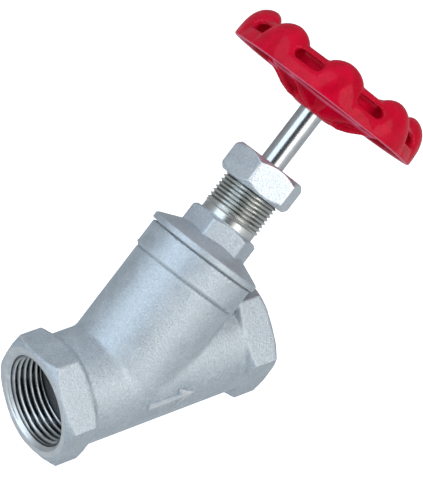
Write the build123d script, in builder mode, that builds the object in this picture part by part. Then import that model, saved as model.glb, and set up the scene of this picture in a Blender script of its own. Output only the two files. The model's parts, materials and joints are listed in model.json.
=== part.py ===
from build123d import *
import os
from math import cos, pi, radians, sin

# Inclined-bonnet globe valve for 1 inch (DN 25) pipe, in millimetres.
# The origin is the centre of the inlet mouth. +X runs along the pipe to the outlet, +Z is up,
# and the stem leans over the outlet in the XZ plane. Heights on the stem axis are measured from
# the point where that axis crosses the pipe axis.

# ---- driving dimensions -------------------------------------------------------------------
run_length = 88.0            # face to face
port_thread_diameter = 33.25  # G 1 pipe thread, major diameter
port_thread_depth = 14.5
port_mouth_chamfer = 1.3
port_shoulder = 4.125        # step from the thread down to the waterway, radial
port_wall = 3.375            # metal round the thread
end_hex_step = 0.5           # hexagon flats above the run
end_hex_length = 12.0
end_hex_outer_chamfer = 3.2  # turned corner chamfers, radial
end_hex_inner_chamfer = 2.2

branch_angle = 45.0          # stem axis above the pipe axis
branch_x = 32.0              # where the two axes cross
branch_wall = 4.0
collar_top = 51.8            # end of the branch, where the bonnet seats
collar_length = 10.2
collar_step = 0.7            # collar above the branch, radial
collar_edge = 0.35

seat_height = 6.0
seat_lip = 1.0
seat_wall = 4.0              # thickness of the sloping wall
seat_inset = 1.0             # seat bore inside the waterway, radial
seat_land_width = 1.6
bonnet_thread_length = 8.8
bonnet_thread_step = 1.5     # bonnet thread outside the chamber, radial

gasket_thickness = 0.8
gasket_gap = 0.35            # collar to bonnet flange, a dark line outside
gasket_width = 1.6
flange_overhang = 1.0        # bonnet flange beyond the collar, radial
flange_thickness = 2.7
flange_edge = 0.9
bonnet_cone_height = 3.55
bonnet_cone_margin = 1.5     # cone top beyond the hexagon flats, radial
bonnet_hex_step = 1.0        # hexagon flats beyond the neck thread, radial
bonnet_hex_height = 7.0
bonnet_hex_chamfer = 1.0
bonnet_hex_turn = 25.3       # degrees from the leaning side to a corner
bonnet_recess_diameter = 26.0
bonnet_recess_depth = 4.0
neck_wall = 3.5              # metal round the packing box
neck_relief = 0.5            # plain neck below the thread, radial
neck_plain_length = 2.8
neck_thread_length = 17.8    # M22 x 1.5
neck_edge = 0.8
nut_thread_length = 13.0     # stem thread cut in the bonnet
nut_thread_lead = 3.0        # stem thread stops this far short of its nut when closed
packing_floor_rise = 1.3     # packing floor above the plain neck
packing_floor_thickness = 2.5
packing_depth = 3.0          # radial width of the packing

packing_ring_count = 4
packing_ring_thickness = 3.0
packing_washer_thickness = 1.5
follower_flange_inset = 1.5  # follower flange inside the neck thread, radial
follower_flange_thickness = 2.4
follower_gap = 0.6           # flange above the neck, left for tightening

gland_nut_wall = 2.0         # flats beyond the neck thread, radial
gland_nut_height = 11.5
gland_nut_top_wall = 2.5
gland_nut_chamfer = 1.6

stem_diameter = 9.0
stem_thread_step = 1.5       # Tr 12 x 3 thread beyond the shank, radial
stem_thread_length = 27.0
stem_waist = 0.7             # waist under the thread, radial
stem_button_step = 1.5       # button beyond the thread, radial
stem_button_thickness = 3.3
stem_edge = 0.5
stem_square_step = 1.0       # flats of the wheel square inside the shank, radial
stem_end_step = 1.5          # M6 end inside the shank, radial
stem_end_length = 9.0
stem_showing = 22.3          # bright shank between gland nut and wheel when closed

disc_chamber_gap = 1.0       # radial
disc_plate_thickness = 3.0
disc_boss_gap = 0.5          # round the stem button, radial
disc_boss_wall = 3.0
disc_socket_floor = 1.1      # above the plate
disc_socket_depth = 7.4
disc_stud_diameter = 6.0
disc_stud_point = 0.6
disc_seal_thickness = 2.5
disc_rim_width = 0.7
lock_nut_step = 0.5          # flats beyond the socket, radial
lock_nut_head = 3.0
lock_nut_reach = 3.3
seal_washer_inset = 1.5      # inside the seat bore, radial
seal_washer_thickness = 1.2
seal_lock_washer_width = 2.5
seal_lock_washer_thickness = 1.2
seal_nut_wall = 2.0
seal_nut_thickness = 3.2

wheel_diameter = 76.0
wheel_drop = 5.4             # wheel seat below the skirt edge
wheel_skirt_height = 7.0
wheel_height = 13.6
wheel_crest_inset = 7.0      # crest inside the outline, radial
wheel_rim_width = 13.0       # outline to the inner wall, radial
wheel_wall = 2.4
wheel_lobe_count = 8
wheel_lobe_swell = 1.1       # half the swing of the wavy outline
wheel_slot_length = 12.0
wheel_slot_width = 4.0
wheel_slot_rise = 6.8
wheel_arm_count = 4
wheel_arm_width = 8.0
wheel_arm_thickness = 4.0
wheel_arm_rise = 4.0         # where an arm meets the rim, above the skirt edge
hub_low_wall = 3.5
hub_high_wall = 6.0
hub_height = 8.7
wheel_washer_width = 4.0
wheel_washer_thickness = 1.2
spring_washer_width = 2.5
spring_washer_thickness = 1.5
wheel_nut_wall = 2.0
wheel_nut_thickness = 5.0

turning_clearance = 0.05     # radial, shafts that turn or slide in a bore
loose_clearance = 0.4        # radial, pieces that must never touch
thread_clearance = 0.05      # radial, screwed pieces of one body
seating_clearance = 0.1      # radial, washers and rings round a shaft

# ---- sizes that follow from them ------------------------------------------------------------
run_diameter = port_thread_diameter + 2 * port_wall
run_bore = port_thread_diameter - 2 * port_shoulder
end_hex_flats = run_diameter + 2 * end_hex_step
branch_diameter = run_diameter
collar_diameter = branch_diameter + 2 * collar_step
collar_low = collar_top - collar_length
chamber_diameter = branch_diameter - 2 * branch_wall
chamber_top = collar_top - bonnet_thread_length
bonnet_thread_diameter = chamber_diameter + 2 * bonnet_thread_step
bonnet_flange_diameter = collar_diameter + 2 * flange_overhang
seat_bore = run_bore - 2 * seat_inset

stem_thread_diameter = stem_diameter + 2 * stem_thread_step
stem_button_diameter = stem_thread_diameter + 2 * stem_button_step
stem_square = stem_diameter - 2 * stem_square_step
stem_end_diameter = stem_diameter - 2 * stem_end_step
packing_box_diameter = stem_diameter + 2 * packing_depth
neck_thread_diameter = packing_box_diameter + 2 * neck_wall
neck_plain_diameter = neck_thread_diameter - 2 * neck_relief
bonnet_hex_flats = neck_thread_diameter + 2 * bonnet_hex_step
bonnet_cone_diameter = bonnet_hex_flats + 2 * bonnet_cone_margin
gland_nut_flats = neck_thread_diameter + 2 * gland_nut_wall

flange_low = collar_top + gasket_gap
flange_high = flange_low + flange_thickness
bonnet_hex_low = flange_high + bonnet_cone_height
bonnet_hex_high = bonnet_hex_low + bonnet_hex_height
neck_plain_top = bonnet_hex_high + neck_plain_length
neck_top = neck_plain_top + neck_thread_length
packing_floor = neck_plain_top + packing_floor_rise
follower_flange_low = neck_top + follower_gap
follower_top = follower_flange_low + follower_flange_thickness
gland_nut_high = follower_top + gland_nut_top_wall
gland_nut_low = gland_nut_high - gland_nut_height
wheel_seat = gland_nut_high + stem_showing
wheel_skirt_low = wheel_seat + wheel_drop

# ---- the two working axes -----------------------------------------------------------------
slope = radians(branch_angle)
stem_direction = Vector(cos(slope), 0, sin(slope))
lean_direction = Vector(-sin(slope), 0, cos(slope))
crossing = Vector(branch_x, 0, 0)
stem_axis = Axis(crossing, stem_direction)
stem_plane = Plane(origin=crossing, x_dir=lean_direction, z_dir=stem_direction)
stem_section = Plane(origin=crossing, x_dir=lean_direction, z_dir=Vector(0, 1, 0))

os.makedirs("parts", exist_ok=True)


def stem_point(height):
    """The point of the stem axis at a height."""
    return crossing + stem_direction * height


def turned_direction(degrees):
    """A direction square to the stem axis, turned from the leaning side."""
    sideways = stem_direction.cross(lean_direction)
    return lean_direction * cos(radians(degrees)) + sideways * sin(radians(degrees))


def stem_turned(*outline, mode=Mode.ADD):
    """Turn a closed outline of (radius, height) points about the stem axis."""
    with BuildSketch(stem_section) as profile:
        with BuildLine():
            Polyline(*outline, close=True)
        make_face()
    revolve(profile.sketch, axis=stem_axis, mode=mode)


def stem_cylinder(diameter, low, high, mode=Mode.ADD):
    """A plain cylinder on the stem axis between two heights."""
    stem_turned((0, low), (diameter / 2, low), (diameter / 2, high), (0, high), mode=mode)


def stem_ring(outer, inner, low, high):
    """A flat ring on the stem axis."""
    stem_turned((inner / 2, low), (outer / 2, low), (outer / 2, high), (inner / 2, high))


def stem_hexagon(flats, low, high, turn=0.0):
    """A hexagon prism on the stem axis, turned from the leaning side."""
    with BuildSketch(stem_plane.offset(low)) as outline:
        RegularPolygon(flats / 2, 6, major_radius=False, rotation=turn)
    extrude(outline.sketch, amount=high - low)


def run_turned(*outline, mode=Mode.ADD):
    """Turn a closed outline of (x, radius) points about the pipe axis."""
    with BuildSketch(Plane.XZ) as profile:
        with BuildLine():
            Polyline(*outline, close=True)
        make_face()
    revolve(profile.sketch, axis=Axis.X, mode=mode)


def corner_radius(flats):
    """Distance from a hexagon's centre to its corners."""
    return flats / (2 * cos(pi / 6))


def save(piece, name):
    """Label a finished piece and write it to its own file."""
    piece.part.label = name
    export_step(piece.part, f"parts/{name}.step")


# ---- valve body: one casting with two pipe ends and a leaning branch ------------------------
end_corner = corner_radius(end_hex_flats)
hex_slant = 1.732            # a 30 degree chamfer is this much wider than long

with BuildPart() as end_hexagon:
    with BuildSketch(Plane.YZ) as end_outline:
        RegularPolygon(end_hex_flats / 2, 6, major_radius=False)
    extrude(end_outline.sketch, amount=end_hex_length)
    outer_rise = end_hex_outer_chamfer / hex_slant
    inner_rise = end_hex_inner_chamfer / hex_slant
    run_turned(
        (0, 0),
        (0, end_corner - end_hex_outer_chamfer),
        (outer_rise, end_corner),
        (end_hex_length - inner_rise, end_corner),
        (end_hex_length, end_corner - end_hex_inner_chamfer),
        (end_hex_length, 0),
        mode=Mode.INTERSECT,
    )

run_middle = run_length / 2
port_radius = port_thread_diameter / 2
mouth_radius = port_radius + port_mouth_chamfer
collar_radius = collar_diameter / 2
branch_radius = branch_diameter / 2
seat_floor = seat_height - seat_lip
partition_low = seat_floor - seat_wall
bonnet_bore = bonnet_thread_diameter + 2 * thread_clearance
gasket_outer = bonnet_bore + 2 * gasket_width + 2 * seating_clearance
gasket_low = collar_top + gasket_gap - gasket_thickness
far = 3 * run_length         # larger than anything in the valve

# Waterways: the straight bore is split by the sloping wall that carries the seat.
with BuildPart() as inlet_way:
    run_turned((0, 0), (0, run_bore / 2), (run_length, run_bore / 2), (run_length, 0))
    with BuildSketch(stem_plane.offset(partition_low)) as below_wall:
        Rectangle(far, far)
    extrude(below_wall.sketch, amount=-far, mode=Mode.INTERSECT)

with BuildPart() as outlet_way:
    run_turned((0, 0), (0, run_bore / 2), (run_length, run_bore / 2), (run_length, 0))
    with BuildSketch(stem_plane.offset(seat_floor)) as above_wall:
        Rectangle(far, far)
    extrude(above_wall.sketch, amount=far, mode=Mode.INTERSECT)

with BuildPart() as port_way:
    run_turned(
        (0, 0),
        (0, mouth_radius),
        (port_mouth_chamfer, port_radius),
        (port_thread_depth, port_radius),
        (port_thread_depth + (port_radius - run_bore / 2) / hex_slant, run_bore / 2),
        (port_thread_depth + (port_radius - run_bore / 2) / hex_slant, 0),
    )

with BuildPart() as valve_body:
    run_turned((0, 0), (0, run_diameter / 2), (run_length, run_diameter / 2), (run_length, 0))
    stem_turned(
        (0, 0),
        (branch_radius, 0),
        (branch_radius, collar_low),
        (collar_radius, collar_low + collar_step),
        (collar_radius, collar_top - collar_edge),
        (collar_radius - collar_edge, collar_top),
        (0, collar_top),
    )
    add(end_hexagon.part)
    add(mirror(end_hexagon.part, about=Plane.YZ.offset(run_middle), mode=Mode.PRIVATE))
    add(inlet_way.part, mode=Mode.SUBTRACT)
    add(outlet_way.part, mode=Mode.SUBTRACT)
    add(port_way.part, mode=Mode.SUBTRACT)
    add(
        mirror(port_way.part, about=Plane.YZ.offset(run_middle), mode=Mode.PRIVATE),
        mode=Mode.SUBTRACT,
    )
    # Chamber over the seat, then the bonnet thread and the gasket groove above it.
    seat_land = seat_bore / 2 + seat_land_width
    stem_turned(
        (0, partition_low - seat_lip),
        (seat_bore / 2, partition_low - seat_lip),
        (seat_bore / 2, seat_height),
        (seat_land, seat_height),
        (seat_land + seat_lip / 2, seat_floor),
        (chamber_diameter / 2, seat_floor),
        (chamber_diameter / 2, chamber_top),
        (bonnet_bore / 2, chamber_top),
        (bonnet_bore / 2, gasket_low),
        (gasket_outer / 2, gasket_low),
        (gasket_outer / 2, collar_top + gasket_gap),
        (0, collar_top + gasket_gap),
        mode=Mode.SUBTRACT,
    )
save(valve_body, "valve_body")

# ---- bonnet: screwed into the collar, with hexagon, neck thread and packing box --------------
flange_radius = bonnet_flange_diameter / 2
thread_bore = stem_thread_diameter + 2 * turning_clearance
nut_thread_low = chamber_top + bonnet_recess_depth
nut_thread_high = nut_thread_low + nut_thread_length
packing_floor_low = packing_floor - packing_floor_thickness
stem_hole = stem_diameter + 2 * turning_clearance
bonnet_corner = corner_radius(bonnet_hex_flats)

with BuildPart() as bonnet_hexagon:
    stem_hexagon(bonnet_hex_flats, flange_high, bonnet_hex_high, bonnet_hex_turn)
    stem_turned(
        (0, flange_high),
        (bonnet_corner, flange_high),
        (bonnet_corner, bonnet_hex_high - bonnet_hex_chamfer),
        (bonnet_corner - hex_slant * bonnet_hex_chamfer, bonnet_hex_high),
        (0, bonnet_hex_high),
        mode=Mode.INTERSECT,
    )

with BuildPart() as bonnet:
    stem_turned(
        (0, chamber_top + seating_clearance),
        (bonnet_thread_diameter / 2, chamber_top + seating_clearance),
        (bonnet_thread_diameter / 2, flange_low),
        (flange_radius, flange_low),
        (flange_radius, flange_high - flange_edge),
        (flange_radius - flange_edge, flange_high),
        (bonnet_cone_diameter / 2, bonnet_hex_low),
        (neck_plain_diameter / 2, bonnet_hex_low),
        (neck_plain_diameter / 2, neck_plain_top),
        (neck_thread_diameter / 2, neck_plain_top + neck_relief),
        (neck_thread_diameter / 2, neck_top - neck_edge),
        (neck_thread_diameter / 2 - neck_edge, neck_top),
        (0, neck_top),
    )
    add(bonnet_hexagon.part)
    stem_turned(
        (0, chamber_top),
        (bonnet_recess_diameter / 2, chamber_top),
        (bonnet_recess_diameter / 2, nut_thread_low - bonnet_recess_depth / 2),
        (thread_bore / 2, nut_thread_low),
        (thread_bore / 2, nut_thread_high),
        (thread_bore / 2 + loose_clearance, nut_thread_high + loose_clearance),
        (thread_bore / 2 + loose_clearance, packing_floor_low - loose_clearance),
        (stem_hole / 2, packing_floor_low),
        (stem_hole / 2, packing_floor),
        (packing_box_diameter / 2, packing_floor),
        (packing_box_diameter / 2, neck_top),
        (0, neck_top),
        mode=Mode.SUBTRACT,
    )
save(bonnet, "bonnet")

with BuildPart() as bonnet_gasket:
    stem_ring(
        gasket_outer - 2 * seating_clearance,
        bonnet_bore + seating_clearance,
        gasket_low,
        gasket_low + gasket_thickness,
    )
save(bonnet_gasket, "bonnet_gasket")

# ---- stem packing: a bottom washer and square-section rings ---------------------------------
ring_outer = packing_box_diameter - 2 * turning_clearance
ring_inner = stem_diameter + 2 * turning_clearance
ring_low = packing_floor + packing_washer_thickness

with BuildPart() as packing_washer:
    stem_ring(ring_outer, stem_diameter + 2 * seating_clearance, packing_floor, ring_low)
save(packing_washer, "packing_washer")

for index in range(packing_ring_count):
    this_low = ring_low + index * packing_ring_thickness
    with BuildPart() as packing_ring:
        stem_ring(ring_outer, ring_inner, this_low, this_low + packing_ring_thickness)
    save(packing_ring, f"packing_ring_{index + 1}")

# ---- gland: the follower presses on the packing, the nut draws it down -----------------------
packing_top = ring_low + packing_ring_count * packing_ring_thickness
follower_flange_diameter = neck_thread_diameter - 2 * follower_flange_inset
follower_hole = stem_diameter / 2 + seating_clearance

with BuildPart() as gland_follower:
    stem_turned(
        (follower_hole, packing_top),
        (ring_outer / 2, packing_top),
        (ring_outer / 2, follower_flange_low),
        (follower_flange_diameter / 2, follower_flange_low),
        (follower_flange_diameter / 2, follower_top),
        (follower_hole, follower_top),
    )
save(gland_follower, "gland_follower")

nut_corner = corner_radius(gland_nut_flats)
nut_face = nut_corner - gland_nut_chamfer
nut_rise = gland_nut_chamfer / hex_slant
nut_bore = neck_thread_diameter + 2 * turning_clearance
gland_nut_hole = stem_diameter + 2 * loose_clearance

with BuildPart() as gland_nut:
    stem_hexagon(gland_nut_flats, gland_nut_low, gland_nut_high, 30)
    stem_turned(
        (0, gland_nut_low),
        (nut_face, gland_nut_low),
        (nut_corner, gland_nut_low + nut_rise),
        (nut_corner, gland_nut_high - nut_rise),
        (nut_face, gland_nut_high),
        (0, gland_nut_high),
        mode=Mode.INTERSECT,
    )
    stem_cylinder(nut_bore, gland_nut_low, follower_top, mode=Mode.SUBTRACT)
    stem_cylinder(gland_nut_hole, gland_nut_low, gland_nut_high, mode=Mode.SUBTRACT)
save(gland_nut, "gland_nut")

# ---- disc: holder, lock nut round the stem button, soft seal and its fixings -----------------
disc_plate_diameter = chamber_diameter - 2 * disc_chamber_gap
disc_socket_diameter = stem_button_diameter + 2 * disc_boss_gap
disc_boss_diameter = disc_socket_diameter + 2 * disc_boss_wall
plate_low = seat_height + disc_seal_thickness
plate_high = plate_low + disc_plate_thickness
socket_low = plate_high + disc_socket_floor
boss_top = socket_low + disc_socket_depth
stud_radius = disc_stud_diameter / 2
seal_washer_low = seat_height - seal_washer_thickness
seal_lock_washer_low = seal_washer_low - seal_lock_washer_thickness
seal_nut_low = seal_lock_washer_low - seal_nut_thickness
seal_outer = disc_plate_diameter - 2 * disc_rim_width
rim_drop = disc_seal_thickness / 2
stud_low = seal_nut_low - disc_stud_point - 0.2

with BuildPart() as disc_holder:
    stem_turned(
        (0, stud_low),
        (stud_radius - disc_stud_point, stud_low),
        (stud_radius, stud_low + disc_stud_point),
        (stud_radius, plate_low),
        (seal_outer / 2, plate_low),
        (seal_outer / 2, plate_low - rim_drop),
        (disc_plate_diameter / 2, plate_low - rim_drop),
        (disc_plate_diameter / 2, plate_high),
        (disc_boss_diameter / 2, plate_high + disc_rim_width),
        (disc_boss_diameter / 2, boss_top),
        (disc_socket_diameter / 2, boss_top),
        (disc_socket_diameter / 2, socket_low),
        (0, socket_low),
    )
save(disc_holder, "disc_holder")

with BuildPart() as disc_seal:
    stem_ring(
        seal_outer - 2 * thread_clearance,
        disc_stud_diameter + 2 * seating_clearance,
        seat_height,
        plate_low,
    )
save(disc_seal, "disc_seal")

with BuildPart() as seal_washer:
    stem_ring(
        seat_bore - 2 * seal_washer_inset,
        disc_stud_diameter + 2 * seating_clearance,
        seal_washer_low,
        seat_height,
    )
save(seal_washer, "seal_washer")

with BuildPart() as seal_lock_washer:
    stem_ring(
        disc_stud_diameter + 2 * seal_lock_washer_width,
        disc_stud_diameter + 2 * seating_clearance,
        seal_lock_washer_low,
        seal_washer_low,
    )
save(seal_lock_washer, "seal_lock_washer")

with BuildPart() as seal_nut:
    stem_hexagon(disc_stud_diameter + 2 * seal_nut_wall, seal_nut_low, seal_lock_washer_low)
    stem_cylinder(
        disc_stud_diameter + 2 * thread_clearance,
        seal_nut_low,
        seal_lock_washer_low,
        mode=Mode.SUBTRACT,
    )
save(seal_nut, "seal_nut")

lock_nut_thread = disc_socket_diameter - 2 * thread_clearance
lock_nut_hole = stem_thread_diameter + 2 * loose_clearance
lock_nut_low = boss_top - lock_nut_reach

with BuildPart() as disc_lock_nut:
    lock_nut_flats = disc_socket_diameter + 2 * lock_nut_step
    stem_hexagon(lock_nut_flats, boss_top, boss_top + lock_nut_head)
    stem_cylinder(lock_nut_thread, lock_nut_low, boss_top)
    stem_cylinder(
        lock_nut_hole, lock_nut_low, boss_top + lock_nut_head, mode=Mode.SUBTRACT
    )
save(disc_lock_nut, "disc_lock_nut")

# ---- stem: turned bar with a button, a thread, a polished shank and a square for the wheel ---
button_low = socket_low + loose_clearance
button_high = button_low + stem_button_thickness
stem_thread_top = nut_thread_high - nut_thread_lead
stem_thread_low = stem_thread_top - stem_thread_length
stem_waist_radius = stem_thread_diameter / 2 - stem_waist
hub_top = wheel_seat + hub_height
square_top = hub_top - 0.3
stem_top = square_top + stem_end_length

with BuildPart() as stem_square_end:
    stem_cylinder(stem_diameter, wheel_seat, square_top)
    with BuildSketch(stem_plane.offset(wheel_seat)) as square_outline:
        Rectangle(stem_square, stem_square, rotation=45)
    extrude(square_outline.sketch, amount=square_top - wheel_seat, mode=Mode.INTERSECT)

with BuildPart() as stem:
    stem_turned(
        (0, button_low),
        (stem_button_diameter / 2 - stem_edge, button_low),
        (stem_button_diameter / 2, button_low + stem_edge),
        (stem_button_diameter / 2, button_high),
        (stem_waist_radius, button_high),
        (stem_waist_radius, stem_thread_low - stem_waist),
        (stem_thread_diameter / 2, stem_thread_low),
        (stem_thread_diameter / 2, stem_thread_top - stem_thread_step),
        (stem_diameter / 2, stem_thread_top),
        (stem_diameter / 2, wheel_seat),
        (0, wheel_seat),
    )
    add(stem_square_end.part)
    stem_turned(
        (0, square_top),
        (stem_end_diameter / 2, square_top),
        (stem_end_diameter / 2, stem_top - stem_edge),
        (stem_end_diameter / 2 - stem_edge, stem_top),
        (0, stem_top),
    )
save(stem, "stem")

# ---- handwheel: cast, hollow under the rim, wavy outline, slots between the lobes ------------
wheel_radius = wheel_diameter / 2
wheel_crest_radius = wheel_radius - wheel_crest_inset
wheel_inner_radius = wheel_radius - wheel_rim_width
hub_low_radius = stem_diameter / 2 + hub_low_wall
hub_high_radius = stem_diameter / 2 + hub_high_wall
rim_radius = wheel_radius - wheel_lobe_swell
skirt_top = wheel_skirt_low + wheel_skirt_height
wheel_top = wheel_skirt_low + wheel_height
rim_floor_top = wheel_top - wheel_wall
crest_hollow = wheel_crest_radius - wheel_wall / 2
outline_points = 6 * wheel_lobe_count


def lobed_outline(radius, swell, height):
    """A closed wavy outline round the stem axis, with one lobe on the leaning side."""
    angles = [2 * pi * step / outline_points for step in range(outline_points)]
    reach = [radius + swell * cos(wheel_lobe_count * angle) for angle in angles]
    with BuildSketch(stem_plane.offset(height)) as outline:
        with BuildLine():
            Spline(*[(r * cos(a), r * sin(a)) for r, a in zip(reach, angles)], periodic=True)
        make_face()
    return outline.sketch


with BuildPart() as rim_hollow:
    loft(
        [
            lobed_outline(rim_radius - wheel_wall, wheel_lobe_swell, wheel_skirt_low),
            lobed_outline(rim_radius - wheel_wall, wheel_lobe_swell, skirt_top),
        ]
    )
    loft(
        [
            lobed_outline(rim_radius - wheel_wall, wheel_lobe_swell, skirt_top),
            lobed_outline(crest_hollow, wheel_lobe_swell, rim_floor_top),
        ]
    )
    stem_cylinder(
        2 * (wheel_inner_radius + wheel_wall),
        wheel_skirt_low - 1.0,
        wheel_top,
        mode=Mode.SUBTRACT,
    )

with BuildPart() as handwheel:
    loft(
        [
            lobed_outline(rim_radius, wheel_lobe_swell, wheel_skirt_low),
            lobed_outline(rim_radius, wheel_lobe_swell, skirt_top),
        ]
    )
    loft(
        [
            lobed_outline(rim_radius, wheel_lobe_swell, skirt_top),
            lobed_outline(wheel_crest_radius, wheel_lobe_swell, wheel_top),
        ]
    )
    add(rim_hollow.part, mode=Mode.SUBTRACT)
    stem_cylinder(
        2 * wheel_inner_radius, wheel_skirt_low - 1.0, wheel_top + 1.0, mode=Mode.SUBTRACT
    )
    # Slots through the outer wall, half way between the lobes.
    lobe_angle = 360 / wheel_lobe_count
    slot_start = wheel_inner_radius + 1.5 * wheel_wall
    for index in range(wheel_lobe_count):
        outward = turned_direction((index + 0.5) * lobe_angle)
        slot_centre = stem_point(wheel_skirt_low + wheel_slot_rise) + outward * slot_start
        slot_along = stem_direction.cross(outward)
        with BuildSketch(Plane(slot_centre, x_dir=slot_along, z_dir=outward)) as slot_outline:
            SlotOverall(wheel_slot_length, wheel_slot_width)
        extrude(slot_outline.sketch, amount=wheel_radius, mode=Mode.SUBTRACT)
    # Hub and the arms that climb from it to the inner wall of the rim.
    stem_turned(
        (0, wheel_seat),
        (hub_low_radius, wheel_seat),
        (hub_high_radius, wheel_seat + hub_height / 2),
        (hub_high_radius, hub_top),
        (0, hub_top),
    )
    arm_start = hub_high_radius - loose_clearance
    arm_end = wheel_inner_radius + wheel_wall / 2
    arm_low = wheel_seat + hub_height / 2
    arm_climb = wheel_skirt_low + wheel_arm_rise
    for index in range(wheel_arm_count):
        outward = turned_direction(index * 360 / wheel_arm_count)
        arm_side = outward.cross(stem_direction)
        with BuildSketch(Plane(crossing, x_dir=outward, z_dir=arm_side)) as arm_outline:
            with BuildLine():
                Polyline(
                    (arm_start, arm_low),
                    (arm_end, arm_climb),
                    (arm_end, arm_climb + wheel_arm_thickness),
                    (arm_start, hub_top),
                    close=True,
                )
            make_face()
        extrude(arm_outline.sketch, amount=wheel_arm_width / 2, both=True)
    with BuildSketch(stem_plane.offset(wheel_seat)) as square_hole:
        square_size = stem_square + 2 * seating_clearance
        Rectangle(square_size, square_size, rotation=45)
    extrude(square_hole.sketch, amount=hub_height, mode=Mode.SUBTRACT)
save(handwheel, "handwheel")

# ---- wheel fixings ---------------------------------------------------------------------------
washer_high = hub_top + wheel_washer_thickness
spring_high = washer_high + spring_washer_thickness
nut_high = spring_high + wheel_nut_thickness
fixing_hole = stem_end_diameter + 2 * seating_clearance

with BuildPart() as wheel_washer:
    stem_ring(fixing_hole + 2 * wheel_washer_width, fixing_hole, hub_top, washer_high)
save(wheel_washer, "wheel_washer")

with BuildPart() as wheel_spring_washer:
    stem_ring(fixing_hole + 2 * spring_washer_width, fixing_hole, washer_high, spring_high)
save(wheel_spring_washer, "wheel_spring_washer")

with BuildPart() as wheel_nut:
    stem_hexagon(stem_end_diameter + 2 * wheel_nut_wall, spring_high, nut_high)
    stem_cylinder(
        stem_end_diameter + 2 * thread_clearance, spring_high, nut_high, mode=Mode.SUBTRACT
    )
save(wheel_nut, "wheel_nut")
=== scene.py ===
import json
from math import ceil, cos, pi, radians, sin, tau

import bmesh
import bpy
import numpy as np
from mathutils import Matrix, Quaternion, Vector


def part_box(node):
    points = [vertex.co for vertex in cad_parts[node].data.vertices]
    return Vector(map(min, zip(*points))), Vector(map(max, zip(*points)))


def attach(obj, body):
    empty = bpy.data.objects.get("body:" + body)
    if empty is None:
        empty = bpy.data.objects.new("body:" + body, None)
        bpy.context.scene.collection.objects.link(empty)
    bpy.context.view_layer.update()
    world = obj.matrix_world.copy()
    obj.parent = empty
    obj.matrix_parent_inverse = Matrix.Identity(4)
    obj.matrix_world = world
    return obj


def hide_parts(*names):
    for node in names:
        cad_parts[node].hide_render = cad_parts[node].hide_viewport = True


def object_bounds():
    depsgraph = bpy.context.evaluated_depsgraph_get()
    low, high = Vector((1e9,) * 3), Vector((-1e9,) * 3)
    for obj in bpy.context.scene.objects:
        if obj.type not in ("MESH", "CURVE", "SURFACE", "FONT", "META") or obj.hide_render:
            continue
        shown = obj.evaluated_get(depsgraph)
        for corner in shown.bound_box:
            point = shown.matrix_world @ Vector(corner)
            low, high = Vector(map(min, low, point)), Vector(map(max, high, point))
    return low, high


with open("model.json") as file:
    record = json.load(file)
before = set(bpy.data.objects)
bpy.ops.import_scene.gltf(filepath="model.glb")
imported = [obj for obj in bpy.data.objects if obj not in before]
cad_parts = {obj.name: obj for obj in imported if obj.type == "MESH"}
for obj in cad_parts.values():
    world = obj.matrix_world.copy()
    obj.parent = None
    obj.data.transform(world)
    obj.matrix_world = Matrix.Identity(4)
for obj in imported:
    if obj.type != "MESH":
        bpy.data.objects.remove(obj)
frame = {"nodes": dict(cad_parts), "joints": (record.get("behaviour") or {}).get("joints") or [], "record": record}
cad_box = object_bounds()
nodes = frame["nodes"]
mm = 0.001

# ---- The stem axis ----
# Everything above the pipe is turned about one leaning line. Heights along it are measured in
# millimetres from the point where it crosses the pipe axis.
stem_turn = next(joint for joint in frame["joints"] if joint["name"] == "stem_turn")
stem_direction = Vector(stem_turn["axis"]).normalized()
joint_point = Vector(stem_turn["pos_m"])
crossing = joint_point - stem_direction * (joint_point.z / stem_direction.z)
lean_direction = stem_direction.cross(Vector((0, 1, 0)))
across_direction = stem_direction.cross(lean_direction)
stem_place = Matrix.Translation(crossing) @ Matrix(
    (lean_direction, across_direction, stem_direction)
).transposed().to_4x4()


def stem_span(node):
    """Lowest and highest place of a CAD node along the stem axis, in millimetres."""
    heights = [(vertex.co - crossing).dot(stem_direction) for vertex in nodes[node].data.vertices]
    return min(heights) / mm, max(heights) / mm


# ---- Cast stainless steel ----
# The body, bonnet and gland nut are investment castings, blasted to an even fine grain. The
# grain, the cloudy tone, the painted highlight along the edges and the painted shade in the
# corners each come from a group that other finishes share.
pit_grey = (0.30, 0.35, 0.39)
# The next two colours are painted shade: one for deep corners, one for inside the bore.
corner_shade_grey = (0.22, 0.25, 0.27)
waterway_shade_black = (0.05, 0.055, 0.06)
waterway_radius = 17.2


def shader_group(name, inputs, outputs):
    """An empty shader node group: inputs with their usual values, and outputs."""
    group = bpy.data.node_groups.new(name, "ShaderNodeTree")
    for label, value in inputs.items():
        kind = "NodeSocketVector" if isinstance(value, tuple) else "NodeSocketFloat"
        socket = group.interface.new_socket(label, in_out="INPUT", socket_type=kind)
        socket.default_value = value
    for label in outputs:
        group.interface.new_socket(label, in_out="OUTPUT", socket_type="NodeSocketFloat")
    return group, group.nodes.new("NodeGroupInput"), group.nodes.new("NodeGroupOutput")


def feed(tree, value, socket):
    """Link an output to a socket, or give the socket a plain value."""
    if isinstance(value, bpy.types.NodeSocket):
        tree.links.new(value, socket)
    else:
        socket.default_value = value


def add_node(tree, kind, **settings):
    """A node with its settings; a setting whose name isn't an attribute is an input."""
    node = tree.nodes.new(kind)
    for key, value in settings.items():
        if hasattr(node, key):
            setattr(node, key, value)
        else:
            feed(tree, value, node.inputs[key.replace("_", " ")])
    return node


def calculate(tree, operation, *values):
    """The result of a Math node on numbers or outputs."""
    node = add_node(tree, "ShaderNodeMath", operation=operation)
    for value, socket in zip(values, node.inputs):
        feed(tree, value, socket)
    return node.outputs[0]


def vary(tree, value, low, high, from_low=0.0, from_high=1.0, curve="LINEAR"):
    """A number that runs from low to high as another runs between two ends."""
    spread = add_node(
        tree, "ShaderNodeMapRange", interpolation_type=curve, Value=value,
        From_Min=from_low, From_Max=from_high, To_Min=low, To_Max=high,
    )
    return spread.outputs["Result"]


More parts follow.
